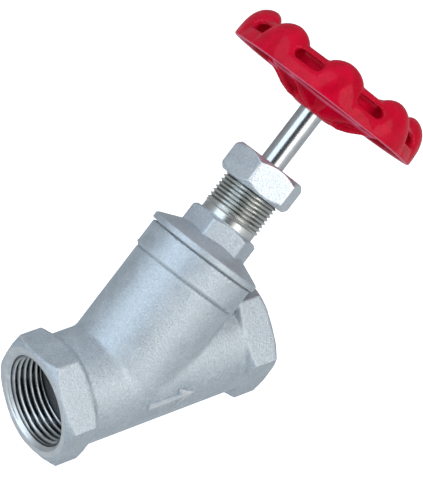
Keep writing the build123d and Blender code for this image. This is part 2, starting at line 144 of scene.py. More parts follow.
def make_grain_group():
    """Blasted grain: a fine height, and a cloudy tone some millimetres across."""
    group, ins, outs = shader_group(
        "cast_grain", {"Grain Size": 0.4, "Cloud Size": 7.0}, ("Height", "Tone")
    )
    place = add_node(group, "ShaderNodeTexCoord").outputs["Object"]
    per_grain = calculate(group, "DIVIDE", 1 / mm, ins.outputs["Grain Size"])
    per_cloud = calculate(group, "DIVIDE", 1 / mm, ins.outputs["Cloud Size"])
    grain = add_node(
        group, "ShaderNodeTexNoise", Vector=place, Scale=per_grain, Detail=3.0, Roughness=0.65
    )
    cloud = add_node(
        group, "ShaderNodeTexNoise", Vector=place, Scale=per_cloud, Detail=4.0, Roughness=0.6,
        Distortion=0.4,
    )
    feed(group, grain.outputs["Fac"], outs.inputs["Height"])
    feed(group, cloud.outputs["Fac"], outs.inputs["Tone"])
    return group


def make_edge_light_group():
    """Masks for a painted highlight on sharp outer edges, broken up by noise, and for painted shade in deep
    corners.
    """
    group, ins, outs = shader_group("edge_highlight_and_corner_shade", {"From": 0.52, "To": 0.62}, ("Mask", "Corner Shade"))
    sharpness = add_node(group, "ShaderNodeNewGeometry").outputs["Pointiness"]
    place = add_node(group, "ShaderNodeTexCoord").outputs["Object"]
    noise = add_node(group, "ShaderNodeTexNoise", Vector=place, Scale=900.0, Detail=2.0)
    rise = vary(group, sharpness, 0, 1, ins.outputs["From"], ins.outputs["To"], "SMOOTHSTEP")
    broken = vary(group, noise.outputs["Fac"], 0.5, 1.0, 0.3, 0.6)
    feed(group, calculate(group, "MULTIPLY", rise, broken), outs.inputs["Mask"])
    # Painted shade where the surface folds into a corner.
    feed(group, vary(group, sharpness, 0, 1, 0.495, 0.43, "SMOOTHSTEP"), outs.inputs["Corner Shade"])
    return group


grain_group = make_grain_group()
edge_light_group = make_edge_light_group()


def new_material(name, colour, metallic, roughness):
    """A material with its own shader; what is the same all over is set on its sockets."""
    material = bpy.data.materials.new(name)
    material.use_nodes = True
    material.diffuse_color = (*colour, 1)
    shader = material.node_tree.nodes["Principled BSDF"]
    shader.inputs["Base Color"].default_value = (*colour, 1)
    shader.inputs["Metallic"].default_value = metallic
    shader.inputs["Roughness"].default_value = roughness
    return material, material.node_tree, shader


def place_group(tree, group, **values):
    """The outputs of a shared group in a material, with this material's values."""
    return add_node(tree, "ShaderNodeGroup", node_tree=group, **values).outputs


def blend_colours(tree, mask, first, second, low=0.0, high=1.0):
    """A colour that goes from the first to the second as a mask goes from low to high."""
    ramp = add_node(tree, "ShaderNodeValToRGB", Fac=mask)
    for element, position, colour in zip(ramp.color_ramp.elements, (low, high), (first, second)):
        element.position = position
        element.color = (*colour, 1)
    return ramp.outputs["Color"]


def lay_over(tree, under, over, mask):
    """A plain colour laid over another where the mask is one."""
    mix = add_node(tree, "ShaderNodeMix", data_type="RGBA")
    for value, socket in ((mask, 0), (under, 6), ((*over, 1), 7)):
        feed(tree, value, mix.inputs[socket])
    return mix.outputs[2]


def finish_shader(tree, shader, colour, roughness, height, bump_depth, strength):
    """Feed a shader its colour, its roughness, and bumps of a real depth in millimetres."""
    bump = add_node(
        tree, "ShaderNodeBump", Height=height, Strength=strength, Distance=bump_depth * mm
    )
    feed(tree, colour, shader.inputs["Base Color"])
    feed(tree, roughness, shader.inputs["Roughness"])
    feed(tree, bump.outputs["Normal"], shader.inputs["Normal"])


def make_cast_steel(name, dark, pale, edge, smooth, rough, grain_depth):
    """Blasted casting: cloudy grey, fine grain; painted highlight on edges, painted shade in corners and waterway.
    """
    material, tree, shader = new_material(name, pale, 0.8, rough)
    grain = place_group(tree, grain_group, Grain_Size=0.7, Cloud_Size=8.0)
    edge_and_corner_light = place_group(tree, edge_light_group, From=0.515, To=0.60)
    tone = blend_colours(tree, grain["Tone"], dark, pale, 0.32, 0.66)
    pitted = lay_over(tree, tone, pit_grey, vary(tree, grain["Height"], 0.45, 0.0, 0.28, 0.46))
    # The edge colour gives random pale speckles in the grain, then a painted highlight along sharp edges; painted
    # shade darkens deep corners.
    speckled = lay_over(tree, pitted, edge, vary(tree, grain["Height"], 0.0, 0.8, 0.52, 0.72))
    edge_highlighted = lay_over(tree, speckled, edge, edge_and_corner_light["Mask"])
    corner_shaded = lay_over(tree, edge_highlighted, corner_shade_grey, edge_and_corner_light["Corner Shade"])
    place = add_node(tree, "ShaderNodeTexCoord").outputs["Object"]
    run_section = add_node(tree, "ShaderNodeMapping", Vector=place, Scale=(0, 1 / mm, 1 / mm))
    from_run = add_node(
        tree, "ShaderNodeVectorMath", operation="LENGTH", Vector=run_section.outputs["Vector"]
    )
    # Painted shade inside the bore: near black within the waterway's radius of the run's axis.
    bore_shade = vary(
        tree, from_run.outputs["Value"], 0.85, 0.0, waterway_radius - 0.3, waterway_radius
    )
    finish_shader(
        tree, shader, lay_over(tree, corner_shaded, waterway_shade_black, bore_shade),
        vary(tree, grain["Tone"], smooth, rough, 0.35, 0.65), grain["Height"], grain_depth, 0.8,
    )
    return material


cast_steel = make_cast_steel(
    "cast_steel", (0.52, 0.58, 0.63), (0.60, 0.66, 0.70), (0.78, 0.81, 0.83), 0.44, 0.56, 0.30
)


# ---- Valve body ----
# One stainless casting: a straight run with a hexagon at each end and the leaning branch. Its
# mesh is the CAD solid's copy, remeshed, with its edges softened as a lost-wax casting's are
# and a wider fillet where the branch grows out of the run.
body_low, body_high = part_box("valve_body")
run_length = body_high.x - body_low.x
run_radius = 20.0
branch_radius = 20.0
fillet_reach = 1.1
body_voxel = 0.62
hexagon_length = 12.5
hexagon_corner = 24.2
collar_low = 41.7            # above the crossing
collar_high = 51.4
collar_proud = 0.75
collar_step = 0.5
bead_proud = 0.25
bead_height = 0.8            # above the foot of the collar's step
groove_depth = 0.3
groove_drop = 0.5            # below the foot of the collar's step
line_half = 0.7              # half the width of the bead and of the groove
skin_reach = 1.1             # how far the skin may be from the branch to be trued


def soften(mesh, rounds, everywhere_rounds, weight):
    """Move each point towards its neighbours' middle, more often where the weight is one."""
    count = len(mesh.vertices)
    points = np.empty(count * 3)
    mesh.vertices.foreach_get("co", points)
    points = points.reshape(-1, 3)
    edges = np.empty(len(mesh.edges) * 2, int)
    mesh.edges.foreach_get("vertices", edges)
    first, second = edges.reshape(-1, 2).T
    neighbours = np.bincount(np.concatenate((first, second)), minlength=count)[:, None]
    share = weight(points)[:, None]
    for turn in range(rounds):
        sums = [
            np.bincount(first, points[second, k], count)
            + np.bincount(second, points[first, k], count)
            for k in range(3)
        ]
        amount = 0.5 if turn < everywhere_rounds else 0.5 * share
        points += (np.stack(sums, axis=1) / neighbours - points) * amount
    mesh.vertices.foreach_set("co", points.ravel())
    mesh.update()


def baked_mesh(source):
    """What an object's modifiers make of it, as a new mesh."""
    bpy.context.view_layer.update()
    graph = bpy.context.evaluated_depsgraph_get()
    return bpy.data.meshes.new_from_object(source.evaluated_get(graph))


def remeshed(source, voxel):
    """An even closed mesh round a closed object, as a new mesh."""
    modifier = source.modifiers.new("even", "REMESH")
    modifier.mode = "VOXEL"
    modifier.voxel_size = voxel * mm
    modifier.use_smooth_shade = True
    return baked_mesh(source)


def scratch_object(name, mesh):
    """An object that only lends its mesh to a piece."""
    scratch = bpy.data.objects.new(name, mesh)
    bpy.context.scene.collection.objects.link(scratch)
    return scratch


def new_piece(name, mesh, material, body, slot, *replaced):
    """A finished piece in the scene, with its finish, its body and the node it stands for."""
    piece = bpy.data.objects.new(name, mesh)
    bpy.context.scene.collection.objects.link(piece)
    mesh.materials.clear()
    mesh.materials.append(material)
    if replaced:
        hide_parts(*replaced)
    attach(piece, body)


def merged_copy(node):
    """A scratch object with a CAD node's mesh, its loose triangles joined."""
    mesh = nodes[node].data.copy()
    work = bmesh.new()
    work.from_mesh(mesh)
    bmesh.ops.remove_doubles(work, verts=work.verts, dist=0.001 * mm)
    work.to_mesh(mesh)
    work.free()
    return scratch_object("copy_of_" + node, mesh)


def near_branch_root(points):
    """One where the skin is close to both the run's and the branch's outer cylinder."""
    off_run = np.abs(np.hypot(points[:, 1], points[:, 2]) / mm - run_radius)
    axis = np.array(stem_direction)
    from_crossing = points - np.array(crossing)
    along = from_crossing @ axis
    from_branch = np.linalg.norm(from_crossing - along[:, None] * axis, axis=1) / mm
    off_branch = np.abs(from_branch - branch_radius)
    above = np.clip(along / mm / 3, 0, 1)
    return np.clip(1.6 * (1 - np.maximum(off_run, off_branch) / fillet_reach), 0, 1) * above


def true_collar(mesh):
    """Put the skin of the branch and its collar back on a crisp step after the softening."""
    axis, start = np.array(stem_direction), np.array(crossing)
    for vertex in mesh.vertices:
        offset = np.array(vertex.co) - start
        height = offset @ axis
        outward = offset - height * axis
        radius = np.linalg.norm(outward)
        height /= mm
        from_run = vertex.co.yz.length / mm
        on_hexagon = vertex.co.x > run_length - hexagon_length * mm and from_run < hexagon_corner
        near_skin = abs(radius / mm - branch_radius - collar_proud / 2) < skin_reach
        if (collar_low - 4 < height < collar_high and near_skin
                and from_run > run_radius + 2 and not on_hexagon):
            step = min(max((height - collar_low) / collar_step, 0), 1)
            bead = max(0, 1 - abs(height - collar_low - bead_height) / line_half)
            groove = max(0, 1 - abs(height - collar_low + groove_drop) / line_half)
            proud = collar_proud * step + bead_proud * bead - groove_depth * groove
            wanted = (branch_radius + proud) * mm
            vertex.co = start + height * mm * axis + outward * wanted / radius


body_copy = merged_copy("valve_body")
body_mesh = remeshed(body_copy, body_voxel)
bpy.data.objects.remove(body_copy)
soften(body_mesh, rounds=14, everywhere_rounds=2, weight=near_branch_root)
true_collar(body_mesh)
new_piece("body_casting", body_mesh, cast_steel, "valve_body", "cast_steel", "valve_body")

# ---- Flow arrow ----
# A raised arrow cast on the near side of the run, pointing from inlet to outlet. It stands
# proud of the skin with softened edges and goes a little way into the metal.
arrow_middle = 43.5
arrow_angle = radians(8)      # below the level of the pipe axis
arrow_length = 19.0
arrow_head = 6.5
arrow_width = 7.0
arrow_shaft = 2.4
arrow_proud = 0.9
arrow_root = 0.8
arrow_rounding = 0.45
arrow_creases = (-2, 0, 2)    # where it is creased to follow the round of the run


def arrow_mesh():
    """The arrow's outline given thickness and wrapped round the run."""
    half = arrow_length / 2
    neck = half - arrow_head
    outline = [
        (-half, -arrow_shaft / 2),
        (neck, -arrow_shaft / 2),
        (neck, -arrow_width / 2),
        (half, 0),
        (neck, arrow_width / 2),
        (neck, arrow_shaft / 2),
        (-half, arrow_shaft / 2),
    ]
    work = bmesh.new()
    work.faces.new([work.verts.new((x, y, 0)) for x, y in outline])
    for crease in arrow_creases:
        bmesh.ops.bisect_plane(
            work, geom=work.verts[:] + work.edges[:] + work.faces[:],
            plane_co=(0, crease, 0), plane_no=(0, 1, 0),
        )
    lifted = bmesh.ops.extrude_face_region(work, geom=work.faces[:])["geom"]
    raised = [item for item in lifted if isinstance(item, bmesh.types.BMVert)]
    bmesh.ops.translate(work, verts=raised, vec=(0, 0, arrow_proud + arrow_root))
    bmesh.ops.recalc_face_normals(work, faces=work.faces)
    top_edge = [
        edge for edge in work.edges
        if all(vertex in raised for vertex in edge.verts) and edge.calc_face_angle(0) > 1
    ]
    bmesh.ops.bevel(
        work, geom=top_edge, offset=arrow_rounding, segments=2, profile=0.6, affect="EDGES"
    )
    for vertex in work.verts:
        turn = arrow_angle + vertex.co.y / run_radius
        reach = run_radius - arrow_root + vertex.co.z
        vertex.co = Vector(
            (arrow_middle + vertex.co.x, -reach * cos(turn), -reach * sin(turn))
        ) * mm
    bmesh.ops.recalc_face_normals(work, faces=work.faces)
    mesh = bpy.data.meshes.new("flow_arrow")
    work.to_mesh(mesh)
    work.free()
    mesh.shade_smooth()
    mesh.set_sharp_from_angle(angle=radians(50))
    return mesh


new_piece("flow_arrow", arrow_mesh(), cast_steel, "valve_body", "cast_steel")

# ---- Turned steel ----
# Machined faces and threads: brighter than the casting, with fine lines left by the tool that
# run round the axis, a little cutting oil stain in the tone, a painted highlight along the
# edges and painted shade in the thread roots.
# Near black painted shade for thread roots, and two radii that no turned piece reaches, which leave it out.
thread_shade_black = (0.02, 0.024, 0.026)
no_thread_shade = (40, 41)           # radii that no turned piece reaches


def make_line_group():
    """Fine tool lines across a turned surface, as a height and a streaky tone."""
    group, ins, outs = shader_group(
        "turning_lines", {"Vector": (0, 0, 0), "Pitch": 0.2}, ("Height", "Streak", "Radius")
    )
    place = ins.outputs["Vector"]
    parts = add_node(group, "ShaderNodeSeparateXYZ", Vector=place)
    flat = add_node(
        group, "ShaderNodeCombineXYZ", X=parts.outputs["X"], Y=parts.outputs["Y"]
    )
    length = add_node(group, "ShaderNodeVectorMath", operation="LENGTH", Vector=flat.outputs[0])
    radius = length.outputs["Value"]
    line_place = add_node(group, "ShaderNodeCombineXYZ", X=radius, Y=parts.outputs["Z"])
    per_line = calculate(group, "DIVIDE", 1 / mm, ins.outputs["Pitch"])
    lines = add_node(
        group, "ShaderNodeTexNoise", noise_dimensions="2D", Vector=line_place.outputs[0],
        Scale=per_line, Detail=2.0, Roughness=0.5,
    )
    streak = add_node(group, "ShaderNodeTexNoise", Vector=place, Scale=260.0, Detail=3.0)
    feed(group, lines.outputs["Fac"], outs.inputs["Height"])
    feed(group, streak.outputs["Fac"], outs.inputs["Streak"])
    feed(group, radius, outs.inputs["Radius"])
    return group


line_group = make_line_group()


def axis_place(tree, place):
    """Object coordinates moved so that Z runs along an axis, by a Mapping node."""
    back = place.inverted()
    mapping = add_node(
        tree, "ShaderNodeMapping", Vector=add_node(tree, "ShaderNodeTexCoord").outputs["Object"],
        Location=back.to_translation(), Rotation=back.to_euler("XYZ"),
    )
    return mapping.outputs["Vector"]


def make_turned_steel(name, place, dark, pale, roughness, pitch, depth, clean, shade_full):
    """Machined steel turned about one axis, with a painted highlight on its edges and painted
    shade, near black, in its thread roots, which grows from the first given radius to the
    second, in millimetres."""
    material, tree, shader = new_material(name, pale, 1.0, roughness)
    lines = place_group(tree, line_group, Pitch=pitch, Vector=axis_place(tree, place))
    edge_and_corner_light = place_group(tree, edge_light_group, From=0.52, To=0.60)
    tone = blend_colours(tree, lines["Streak"], dark, pale, 0.3, 0.62)
    # A paler copy of the colour, painted as a highlight along sharp edges.
    edge_highlight_colour = tuple(min(1.0, 1.15 * part) for part in pale)
    edge_highlighted = lay_over(tree, tone, edge_highlight_colour, edge_and_corner_light["Mask"])
    # Painted shade in the thread roots, rising between the two radii.
    root_shade = vary(tree, lines["Radius"], 0.0, 0.93, clean * mm, shade_full * mm)
    finish_shader(
        tree, shader, lay_over(tree, edge_highlighted, thread_shade_black, root_shade),
        vary(tree, lines["Height"], roughness - 0.06, roughness + 0.08, 0.3, 0.7),
        lines["Height"], depth, 0.5,
    )
    return material


inlet_place = Matrix(((0, 0, 1, 0), (1, 0, 0, 0), (0, 1, 0, 0), (0, 0, 0, 1)))
outlet_place = Matrix(
    ((0, 0, -1, run_length), (0, 1, 0, 0), (1, 0, 0, 0), (0, 0, 0, 1))
)
port_steel = make_turned_steel(
    "port_steel", inlet_place, (0.62, 0.65, 0.66), (0.72, 0.75, 0.76), 0.30, 0.25, 0.01,
    15.5, 16.2,
)
port_face_steel = make_turned_steel(
    "port_face_steel", inlet_place, (0.66, 0.69, 0.70), (0.76, 0.79, 0.80), 0.34, 0.25, 0.01,
    *no_thread_shade,
)
turned_steel = make_turned_steel(
    "turned_steel", stem_place, (0.52, 0.53, 0.52), (0.72, 0.73, 0.72), 0.28, 0.2, 0.02,
    *no_thread_shade,
)


# ---- Pipe threads ----
# The two G 1 pipe threads with their machined end faces. Each is a skin over the casting's
# bore: 11 rounded ridges to the inch on a right-hand helix, cut back by the mouth's chamfer.
plain_step = 0.4


def rounded_path(points, rounding, step, closed):
    """Rows along a path with rounded corners: a step apart on a thread, else a plain step.
    A point may leave out a thread depth, or that and the reach of its flats, if nought."""
    corners = np.array([(*point, 0, 0)[:4] for point in points], float)
    count = len(corners)
    path = []
    for index, here in enumerate(corners):
        if not closed and index in (0, count - 1):
            path.append(here)
            continue
        before = corners[index - 1] - here
        after = corners[(index + 1) % count] - here
        start = here + before * min(rounding / np.linalg.norm(before), 0.45)
        end = here + after * min(rounding / np.linalg.norm(after), 0.45)
        for share in (0, 1 / 3, 2 / 3, 1):
            path.append(
                (1 - share) ** 2 * start + 2 * share * (1 - share) * here + share**2 * end
            )
    following = path[1:] + path[:1] if closed else path[1:]
    rows = []
    for here, there in zip(path, following):
        gap = step if here[3] or there[3] else max(step, plain_step)
        pieces = max(1, ceil(np.linalg.norm((there - here)[:2]) / gap))
        rows.extend(here + (there - here) * part / pieces for part in range(pieces))
    if not closed:
        rows.append(path[-1])
    return np.array(rows)


def ridge(phase):
    """A thread's rounded tooth: one on its crest, nought in its root."""
    return np.clip(1.3 * np.abs(2 * (phase % 1) - 1) - 0.15, 0, 1)


def soft_least(first, second, blur):
    """The smaller of two numbers with a rounded change from one to the other."""
    return (first + second - np.sqrt((first - second) ** 2 + blur**2)) / 2


def outward(mesh):
    """The same mesh with every face turned outwards."""
    work = bmesh.new()
    work.from_mesh(mesh)
    bmesh.ops.recalc_face_normals(work, faces=work.faces)
    work.to_mesh(mesh)
    work.free()
    return mesh


def polar_mesh(name, rows, place, closed, columns=144, sides=6, flats=0.0, corner=0.0,
               pitch=1.5, least=None, blur=0.3):
    """A form turned about an axis. A row is height, radius, reach of its flats, thread depth."""
    angles = tau * np.arange(columns) / columns + corner
    height = rows[:, :1] + 0 * angles
    radius = rows[:, 1:2] - rows[:, 3:4] * ridge(rows[:, :1] / pitch - angles / tau)
    if flats:
        from_flat = (angles - corner) % (tau / sides) - pi / sides
        flat_reach = flats / 2 / np.cos(from_flat) + 0 * height
        cut = soft_least(rows[:, 2:3] + 0 * flat_reach, flat_reach, blur)
        radius = -soft_least(-radius, -cut, blur)
    if least:
        radius = np.maximum(radius, least(height))
    points = np.stack((radius * np.cos(angles), radius * np.sin(angles), height), axis=2)
    count = len(rows)
    vertices = points.reshape(-1, 3)
    start = np.arange(count if closed else count - 1)[:, None] * columns
    across = np.arange(columns)
    beside = (across + 1) % columns
    above = (start + columns) % (count * columns)
    faces = np.stack((start + across, start + beside, above + beside, above + across), axis=2)
    faces = [tuple(face) for face in faces.reshape(-1, 4).tolist()]
    if not closed:
        vertices = np.concatenate((vertices, [(0, 0, rows[0, 0]), (0, 0, rows[-1, 0])]))
        low, high, last = count * columns, count * columns + 1, (count - 1) * columns
        faces += [(low, int(two), int(one)) for one, two in zip(across, beside)]
        faces += [(high, last + int(one), last + int(two)) for one, two in zip(across, beside)]
    mesh = bpy.data.meshes.new(name)
    mesh.from_pydata((vertices * mm).tolist(), [], faces)
    mesh.transform(place)
    outward(mesh).shade_smooth()
    mesh.set_sharp_from_angle(angle=radians(40))
    return mesh


port_root = 16.45
port_tooth = 1.25
port_pitch = 25.4 / 11
port_depth = 14.3
mouth_radius = 17.9
face_radius = 19.9
face_proud = 0.03
skin_back = 17.7


def mouth_cone(height):
    """The mouth's 45 degree chamfer cuts every ridge back to this radius."""
    return mouth_radius - height


port_path = rounded_path(
    [
        (-face_proud, face_radius),
        (-face_proud, mouth_radius),
        (mouth_radius - port_root, port_root, 0, port_tooth),
        (port_depth - port_pitch / 2, port_root, 0, port_tooth),
        (port_depth, port_root),
        (port_depth, skin_back),
        (2.0, skin_back),
        (0.5, face_radius - 0.4),
    ],
    0.15,
    port_pitch / 12,
    closed=True,
)


def least_on_front(height):
    """The chamfer applies only to the front of the skin."""
    return np.where(port_path[:, 1:2] < skin_back - 0.5, mouth_cone(height), 0)


for port, place in (("inlet", inlet_place), ("outlet", outlet_place)):
    thread_mesh = polar_mesh(
        port + "_thread", port_path, place, closed=True, pitch=port_pitch, least=least_on_front
    )
    new_piece(port + "_thread", thread_mesh, port_steel, "valve_body", "turned_steel")
    thread_mesh.materials.append(port_face_steel)
    for face in thread_mesh.polygons:
        if (place.inverted() @ face.center).z < (mouth_radius - port_root) * mm:
            face.material_index = 1

# ---- Bonnet ----
# The bonnet casting screws into the collar. It has a flange with a sloping top, a hexagon for
# the wrench, a plain neck and the M22 x 1.5 thread that the gland nut runs on.
bonnet_low, neck_top = stem_span("bonnet")
flange_low = neck_top - 33.85
flange_radius = 21.7
flange_thickness = 2.7
cone_height = 3.55
cone_radius = 13.5
bonnet_flats = 24.0
bonnet_reach = 13.7
bonnet_hex_height = 7.0
bonnet_corner = radians(25.3)
neck_radius = 10.5
neck_relief_height = 2.8
neck_thread_radius = 11.0
neck_tooth = 0.92
neck_pitch = 1.5
packing_radius = 7.5
packing_floor = neck_top - 16.5
stem_hole_radius = 4.55
stem_nut_radius = 6.05
stem_nut_low = bonnet_low + 3.9
recess_radius = 13.0
bonnet_screw_radius = 17.5
cone_low = flange_low + flange_thickness
hex_low = cone_low + cone_height
hex_high = hex_low + bonnet_hex_height
thread_low = hex_high + neck_relief_height
bonnet_path = rounded_path(
    [
        (bonnet_low, recess_radius),
        (bonnet_low, bonnet_screw_radius),
        (flange_low, bonnet_screw_radius),
        (flange_low, flange_radius),
        (cone_low - 0.6, flange_radius),
        (cone_low, flange_radius - 0.9),
        (hex_low - 0.9, cone_radius + 1.0, bonnet_reach),
        (hex_low, cone_radius - 1.2, bonnet_reach),
        (hex_low + 0.8, neck_radius, bonnet_reach),
        (hex_high - 1.0, neck_radius, bonnet_reach),
        (hex_high, neck_radius, bonnet_reach - 1.7),
        (hex_high + 0.01, neck_radius, neck_radius - 1),
        (thread_low, neck_radius),
        (thread_low + 0.4, neck_thread_radius),
        (thread_low + 1.2, neck_thread_radius, 0, neck_tooth),
        (neck_top - 1.2, neck_thread_radius, 0, neck_tooth),
        (neck_top, neck_thread_radius - 0.9),
        (neck_top, packing_radius),
        (packing_floor, packing_radius),
        (packing_floor, stem_hole_radius),
        (packing_floor - 2.5, stem_hole_radius),
        (packing_floor - 3.0, stem_nut_radius),
        (stem_nut_low, stem_nut_radius),
        (stem_nut_low - 2.0, recess_radius),
    ],
    0.35,
    neck_pitch / 10,
    closed=True,
)
bonnet_mesh = polar_mesh(
    "bonnet_casting", bonnet_path, stem_place, closed=True, flats=bonnet_flats,
    corner=bonnet_corner, pitch=neck_pitch, blur=0.25,
)
new_piece("bonnet_casting", bonnet_mesh, cast_steel, "valve_body", "cast_steel", "bonnet")
neck_steel = make_turned_steel(
    "neck_steel", stem_place, (0.58, 0.60, 0.58), (0.70, 0.71, 0.68), 0.28, 0.3, 0.01,
    10.32, 10.06,
)
bonnet_mesh.materials.append(neck_steel)
turned_from = (hex_high + 0.6) * mm
for face in bonnet_mesh.polygons:
    if (face.center - crossing).dot(stem_direction) > turned_from:
        face.material_index = 1

# ---- Gland nut ----
# A 26 mm hexagon nut that draws the follower down on the packing. Its six corners are turned
# back at both ends and the thread inside matches the bonnet's neck.
gland_low, gland_high = stem_span("gland_nut")
gland_flats = 26.0
gland_reach = 15.0
gland_corner_cut = 2.4
gland_rise = 1.9
gland_bore = 11.05
gland_hole = 4.9
gland_thread_top = gland_high - 2.5
gland_corner = radians(30)
gland_path = rounded_path(
    [
        (gland_low, gland_bore + 0.2),
        (gland_low, gland_bore + 0.6, gland_reach - gland_corner_cut),
        (gland_low + gland_rise, gland_bore + 0.6, gland_reach),
        (gland_high - gland_rise, gland_bore + 0.6, gland_reach),
        (gland_high, gland_bore + 0.6, gland_reach - gland_corner_cut),
        (gland_high, gland_hole + 0.2),
        (gland_high - 0.2, gland_hole),
        (gland_thread_top, gland_hole),
        (gland_thread_top, gland_bore),
    ],
    0.2,
    0.3,
    closed=True,
)
gland_mesh = polar_mesh(
    "gland_nut_casting", gland_path, stem_place, closed=True, flats=gland_flats,
    corner=gland_corner, blur=0.15,
)
nut_steel = make_cast_steel(
    "nut_steel", (0.60, 0.66, 0.71), (0.68, 0.73, 0.77), (0.86, 0.87, 0.87), 0.30, 0.38, 0.10
)
new_piece("gland_nut_casting", gland_mesh, nut_steel, "gland_nut", "cast_steel", "gland_nut")

# ---- Stem ----
# A bright drawn bar: a button in the disc, the trapezoidal thread inside the bonnet, the
# polished shank, the square for the wheel and a thread for its nut.
stem_low, stem_high = stem_span("stem")
wheel_seat = stem_high - 17.4
square_top = stem_high - 9.0
stem_thread_low = neck_top - 56.1
stem_thread_high = stem_thread_low + 27.0
shank_radius = 4.5
stem_thread_radius = 6.0
stem_tooth = 1.2
stem_pitch = 3.0
waist_radius = 5.3
button_radius = 7.5
button_height = 3.3
square_flats = 7.0
end_radius = 3.0
end_tooth = 0.55
end_pitch = 1.0
stem_path = rounded_path(
    [
        (stem_low, button_radius - 0.5),
        (stem_low + 0.5, button_radius),
        (stem_low + button_height, button_radius),
        (stem_low + button_height, waist_radius),
        (stem_thread_low - 0.7, waist_radius),
        (stem_thread_low, stem_thread_radius),
        (stem_thread_low + 1.5, stem_thread_radius, 0, stem_tooth),
        (stem_thread_high - 3.0, stem_thread_radius, 0, stem_tooth),
        (stem_thread_high - 1.5, stem_thread_radius, 0, stem_tooth),
        (stem_thread_high, shank_radius),
        (wheel_seat, shank_radius),
    ],
    0.15,
    0.4,
    closed=False,
)


def make_polished_steel():
    """Polished bar: a mirror with faint lines round it and a streaky tone."""
    material, tree, shader = new_material("polished_steel", (0.60, 0.61, 0.62), 1.0, 0.2)
    lines = place_group(tree, line_group, Pitch=0.35, Vector=axis_place(tree, stem_place))
    tone = blend_colours(
        tree, lines["Streak"], (0.52, 0.54, 0.56), (0.64, 0.65, 0.65), 0.3, 0.65
    )
    shine = vary(tree, lines["Height"], 0.16, 0.25, 0.3, 0.7)
    finish_shader(tree, shader, tone, shine, lines["Height"], 0.004, 0.4)
    return material


polished_steel = make_polished_steel()
shank_mesh = polar_mesh(
    "stem_shank", stem_path, stem_place, closed=False, columns=96, pitch=stem_pitch
)
new_piece("stem_shank", shank_mesh, polished_steel, "stem", "polished_steel", "stem")
end_path = rounded_path(
    [
        (wheel_seat - 0.5, 1.0, shank_radius - 0.6),
        (wheel_seat, 1.0, shank_radius),
        (square_top - 0.3, 1.0, shank_radius),
        (square_top, 1.0, end_radius),
        (square_top + 0.02, end_radius, 1.0),
        (square_top + 0.8, end_radius),
        (square_top + 1.4, end_radius, 0, end_tooth),
        (stem_high - 0.8, end_radius, 0, end_tooth),
        (stem_high, end_radius - 0.6),
    ],
    0.1,
    end_pitch / 8,
    closed=False,
)
end_mesh = polar_mesh(
    "stem_end", end_path, stem_place, closed=False, columns=96, sides=4, flats=square_flats,
    pitch=end_pitch, blur=0.1,
)
new_piece("stem_end", end_mesh, polished_steel, "stem", "polished_steel")

# ---- Red coating ----
# The handwheel is dipped in a thick gloss red coat over the casting. It has a slight orange
# peel and a pink painted highlight along the skirt's lower edge, where the coat is also thin,
# and painted shade darkens it in the hollows.
wheel_low = stem_span("handwheel")[0]
skirt_low = wheel_low + 5.4
# A pink for the painted highlight on the skirt's edge, and a dark red for painted shade in the hollows.
skirt_highlight_pink = (0.85, 0.20, 0.34)
hollow_shade_red = (0.24, 0.0, 0.01)


def make_red_coat():
    """Thick gloss red paint on a casting."""
    material, tree, shader = new_material("red_coat", (0.62, 0.002, 0.014), 0.0, 0.33)
    shader.inputs["Coat Weight"].default_value = 0.17
    shader.inputs["Coat Roughness"].default_value = 0.1
    shader.inputs["Specular IOR Level"].default_value = 0.05
    grain = place_group(tree, grain_group, Grain_Size=1.3, Cloud_Size=6.0)
    edge_and_corner_light = place_group(tree, edge_light_group)
    tone = blend_colours(
        tree, grain["Tone"], (0.56, 0.0005, 0.020), (0.72, 0.001, 0.032), 0.35, 0.65
    )
    place = add_node(tree, "ShaderNodeSeparateXYZ", Vector=axis_place(tree, stem_place))
    above_skirt = calculate(tree, "SUBTRACT", place.outputs["Z"], skirt_low * mm)
    from_skirt = calculate(tree, "ABSOLUTE", above_skirt)
    # A painted highlight: a pink line along the skirt's lower edge.
    skirt_highlight = vary(tree, from_skirt, 0.8, 0.0, 0.1 * mm, 0.6 * mm)
    skirt_highlighted = lay_over(tree, tone, skirt_highlight_pink, skirt_highlight)
    # Painted shade in the hollows.
    hollow_shaded = lay_over(tree, skirt_highlighted, hollow_shade_red, edge_and_corner_light["Corner Shade"])
    gloss = vary(tree, grain["Height"], 0.27, 0.40, 0.3, 0.7)
    runs = calculate(tree, "MULTIPLY_ADD", grain["Tone"], 5.0, grain["Height"])
    finish_shader(tree, shader, hollow_shaded, gloss, runs, 0.18, 0.6)
    return material


red_coat = make_red_coat()

# ---- Handwheel ----
# A hollow casting, open underneath: eight rounded lobes stand on its rim with a slot between
# each two, and four ribbed arms climb from the hub. The rim is built from two cross-sections,
# one through a lobe and one through a valley, and the whole is remeshed and softened.
hub_high = wheel_low + 8.7
lobe_count = 8
arm_count = 4
rim_wall = 2.3
wheel_voxel = 0.46
wheel_rounds = 7
rim_columns = 320
section_points = 44
fine_points = 400
hollow_middle = (3.0, 32.0)   # a height and a radius inside the rim's hollow
lobe_section = [
    (0, 37.8), (4, 37.7), (7, 37.4), (10, 36.5), (12.6, 34.8), (14.3, 32.4), (15.0, 29.9),
    (14.4, 28.0), (12.8, 26.7), (9, 26.1), (3.5, 26.0),
]
valley_section = [
    (0, 37.2), (4, 36.2), (7, 34.7), (9, 33.5), (10.2, 32.6), (11.0, 31.5), (11.3, 30.2),
    (11.1, 28.8), (10.3, 27.6), (8.6, 26.7), (3.5, 26.0),
]


def even_section(section, count):
    """Points evenly spaced along a smooth curve through a section's points."""
    corners = np.array(section, float)
    gaps = np.linalg.norm(np.diff(corners, axis=0), axis=1)
    along = np.concatenate(([0], np.cumsum(gaps))) / gaps.sum()
    fine = np.linspace(0, 1, fine_points)
    curve = np.stack([np.interp(fine, along, corners[:, k]) for k in range(2)], axis=1)
    for _ in range(300):
        curve[1:-1] += 0.5 * ((curve[:-2] + curve[2:]) / 2 - curve[1:-1])
    return curve[np.linspace(0, fine_points - 1, count).astype(int)]


